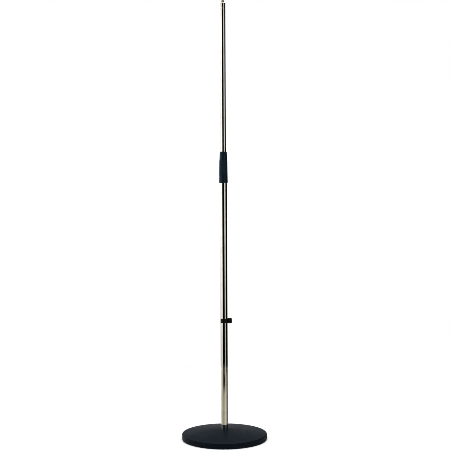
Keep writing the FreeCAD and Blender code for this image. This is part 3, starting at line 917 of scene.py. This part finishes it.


# painted reflection: how bright the floor is painted for glossy rays only, in three rings round the stand,
# so that bright metal shows dark and pale stripes: each ring's sectors start at an angle from the front,
# in degrees to the right
nearPaintedReflection = [(-180, 0.75), (-95, 0.33), (-50, 0.41), (-15, 0.50), (18, 0.62),
            (52, 0.45), (92, 0.18), (165, 0.75)]
middlePaintedReflection = [(-180, 0.85), (-95, 0.40), (-55, 0.14), (-26, 0.005), (19, 0.38),
              (50, 0.30), (92, 0.2), (165, 0.85)]
farPaintedReflection = [(-180, 0.90), (-95, 0.55), (-55, 0.11), (-17, 0.05), (14, 0.62),
           (50, 0.09), (92, 0.14), (165, 0.90)]


def angleRamp(tree, across, towards, sectors, softness, place):
    # brightness by the angle round the stand; the sectors' edges are soft
    turn = combine(tree, 'ARCTAN2', across, towards, (place[0], place[1]))
    share = combine(tree, 'MULTIPLY_ADD', turn, 1 / math.tau, (place[0] + 200, place[1]))
    share.node.inputs[2].default_value = 0.5
    edge = softness / 360
    stops = [(0, sectors[0][1])]
    for (angle, level), (start, before) in zip(sectors[1:], sectors):
        stops += [((angle + 180) / 360 - edge, before), ((angle + 180) / 360 + edge, level)]
    return addRamp(tree, share, stops, (place[0] + 400, place[1]))


def makeFloor():
    shape = studioShape
    deselectAll()
    thick = shape["floorThick"]
    bpy.ops.mesh.primitive_cylinder_add(vertices=160, radius=shape["floorRadius"], depth=thick,
                                        location=(0, 0, -thick / 2))
    floor = bpy.context.object
    floor.name = "studioFloor"
    bpy.ops.object.transform_apply(location=True, rotation=True, scale=True)
    material, tree, shader, where = startMaterial("Pale floor with painted reflection", {})
    film = useGroup(tree, handledGroup, (-1000, 0), {'Amount': 0.5})
    tree.links.new(where, film.inputs['Coordinates'])
    tone = shape["floorTone"]
    filmed = [c * shape["filmed"] for c in tone]
    plain = blendColours(tree, film.outputs['Mask'], tone, filmed, (-600, 0))
    # painted reflection: glossy rays see the floor painted duller, with darker sectors that lead away from
    # the stand, and smoother, so that bright metal shows stripes that the plain floor doesn't have
    parts = addNode(tree, 'ShaderNodeSeparateXYZ', (-2200, -300))
    tree.links.new(where, parts.inputs[0])
    towards = combine(tree, 'MULTIPLY', parts.outputs['Y'], -1.0, (-2000, -300))
    reach = addNode(tree, 'ShaderNodeVectorMath', (-1400, -900), {'operation': 'LENGTH'})
    tree.links.new(where, reach.inputs[0])
    rings = []
    for number, sectors in enumerate((nearPaintedReflection, middlePaintedReflection, farPaintedReflection)):
        place = (-1800, -300 - 200 * number)
        rings.append(angleRamp(tree, parts.outputs['X'], towards, sectors, 5, place))
    outwards = fadeBetween(tree, reach.outputs['Value'], shape["firstFade"], (-1200, -900))
    further = fadeBetween(tree, reach.outputs['Value'], shape["secondFade"], (-1200, -1200))
    inner = blendColours(tree, outwards, rings[0], rings[1], (-1000, -400))
    outer = blendColours(tree, further, inner, rings[2], (-800, -400))
    # painted reflection: the sector tones, tinted warm, are what bright metal sees of the floor
    dull = addNode(tree, 'ShaderNodeVectorMath', (-600, -300), {'operation': 'MULTIPLY'})
    tree.links.new(outer, dull.inputs[0])
    dull.inputs[1].default_value = shape["paintedReflectionTint"]
    rays = addNode(tree, 'ShaderNodeLightPath', (-800, 500))
    inMetal = rays.outputs['Is Glossy Ray']
    # the camera and diffuse light see the plain pale floor; glossy rays see the painted reflection
    seen = blendColours(tree, inMetal, plain, dull.outputs[0], (-300, 0))
    tree.links.new(seen, shader.inputs['Base Color'])
    tree.links.new(fade(tree, inMetal, 0.8, 0.3, (-300, -300)), shader.inputs['Roughness'])
    tree.links.new(fade(tree, inMetal, 0.05, 0.3, (-300, -600)), shader.inputs['Specular IOR Level'])
    floor.data.materials.append(material)


def makeSurround():
    shape = studioShape
    world = bpy.data.worlds.new("Soft studio")
    scene.world = world
    world.use_nodes = True
    tree = world.node_tree
    direction = addNode(tree, 'ShaderNodeTexCoord', (-1600, 0))
    parts = addNode(tree, 'ShaderNodeSeparateXYZ', (-1400, 0))
    tree.links.new(direction.outputs['Generated'], parts.inputs[0])
    front = combine(tree, 'MULTIPLY', parts.outputs['Y'], -1.0, (-1200, -100))
    sectors = [(angle, shape[kind]) for angle, kind in surround]
    panels = angleRamp(tree, parts.outputs['X'], front, sectors, 1.5, (-1000, 0))
    height = combine(tree, 'MULTIPLY_ADD', parts.outputs['Z'], 0.5, (-800, -300))
    height.node.inputs[2].default_value = 0.5
    levels = addRamp(tree, height, [((z + 1) / 2, level) for z, level in panelLevels], (-600, -300))
    lit = addNode(tree, 'ShaderNodeVectorMath', (-200, 0), {'operation': 'MULTIPLY'})
    tree.links.new(panels, lit.inputs[0])
    tree.links.new(levels, lit.inputs[1])
    # a white ceiling over all of it, and the plain white backdrop that the camera sees
    above = fadeBetween(tree, parts.outputs['Z'], shape["ceilingFade"], (-200, -300))
    ceiling = (shape["ceiling"],) * 3
    covered = blendColours(tree, above, lit.outputs[0], ceiling, (0, 0))
    rays = addNode(tree, 'ShaderNodeLightPath', (-200, 400))
    backdrop = (shape["backdrop"],) * 3
    seen = blendColours(tree, rays.outputs['Is Camera Ray'], covered, backdrop, (200, 100))
    tree.links.new(seen, tree.nodes['Background'].inputs['Color'])


cameraShape = {"side": 0.0041, "distance": 2.542, "height": 0.6307, "lens": 68.87, "roll": 0.25}


def makeCamera():
    shape = cameraShape
    data = bpy.data.cameras.new("Camera")
    camera = bpy.data.objects.new("Camera", data)
    scene.collection.objects.link(camera)
    data.sensor_width = 36
    data.lens = shape["lens"]
    camera.location = (shape["side"], -shape["distance"], shape["height"])
    camera.rotation_euler = (math.pi / 2, math.radians(shape["roll"]), 0)
    scene.camera = camera


makeFloor()
makeSurround()
makeCamera()
scene.view_settings.view_transform = 'Standard'
scene.cycles.filter_width = 0.7    # a crisp print
print("studio made")
